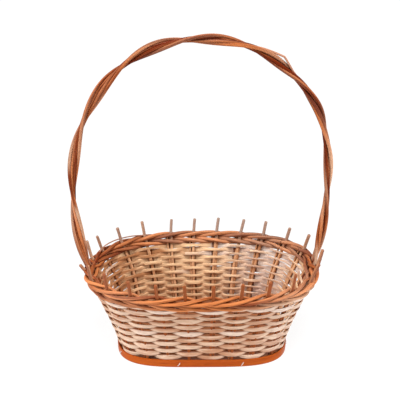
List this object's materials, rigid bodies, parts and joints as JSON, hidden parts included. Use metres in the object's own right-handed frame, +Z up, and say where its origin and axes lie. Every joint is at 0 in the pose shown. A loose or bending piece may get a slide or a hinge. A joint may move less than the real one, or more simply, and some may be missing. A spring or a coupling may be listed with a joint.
{
  "type": "wicker gift basket",
  "caption": "Oval willow basket with a flared woven wall on a banded board base, a waled border with cut stakes, and a tall fixed handle of twisted rods.",
  "frame": {"origin": "middle of the base board's underside, on the surface that the basket stands on", "axes": "+Z up, X along the basket's long side, front towards -Y, +X to the right seen from the front"},
  "size_m": [0.3625, 0.2228, 0.4398],
  "materials": {
    "board_plywood": "plywood stained red-brown",
    "band_wood": "stained and varnished thin wood strip",
    "staple_steel": "bright wire",
    "stake_willow": "boiled willow rod, varnished, grey cut ends",
    "weaver_willow": "peeled split willow, pale and satin",
    "border_willow": "boiled willow rod, varnished",
    "handle_willow": "boiled willow rod, varnished"
  },
  "bodies": {
    "root": {"base_board": "board_plywood", "base_band": "band_wood", "band_staple_01": "staple_steel", "band_staple_02": "staple_steel", "band_staple_03": "staple_steel", "band_staple_04": "staple_steel", "band_staple_05": "staple_steel", "band_staple_06": "staple_steel", "band_staple_07": "staple_steel", "band_staple_08": "staple_steel", "stake_01": "stake_willow", "stake_02": "stake_willow", "stake_03": "stake_willow", "stake_04": "stake_willow", "stake_05": "stake_willow", "stake_06": "stake_willow", "stake_07": "stake_willow", "stake_08": "stake_willow", "stake_09": "stake_willow", "stake_10": "stake_willow", "stake_11": "stake_willow", "stake_12": "stake_willow", "stake_13": "stake_willow", "stake_14": "stake_willow", "stake_15": "stake_willow", "stake_16": "stake_willow", "stake_17": "stake_willow", "stake_18": "stake_willow", "stake_19": "stake_willow", "stake_20": "stake_willow", "stake_21": "stake_willow", "stake_22": "stake_willow", "stake_23": "stake_willow", "stake_24": "stake_willow", "weave_row_01": "weaver_willow", "weave_row_02": "weaver_willow", "weave_row_03": "weaver_willow", "weave_row_04": "weaver_willow", "weave_row_05": "weaver_willow", "weave_row_06": "weaver_willow", "weave_row_07": "weaver_willow", "weave_row_08": "weaver_willow", "weave_row_09": "weaver_willow", "weave_row_10": "weaver_willow", "weave_row_11": "weaver_willow", "weave_row_12": "weaver_willow", "weave_row_13": "weaver_willow", "weave_row_14": "weaver_willow", "weave_row_15": "weaver_willow", "weave_row_16": "weaver_willow", "border_lower_1": "border_willow", "border_lower_2": "border_willow", "border_lower_3": "border_willow", "border_upper_1": "border_willow", "border_upper_2": "border_willow", "border_upper_3": "border_willow", "handle_rod_1": "handle_willow", "handle_rod_2": "handle_willow", "handle_rod_3": "handle_willow", "handle_rod_4": "handle_willow"}
  },
  "joints": []
}
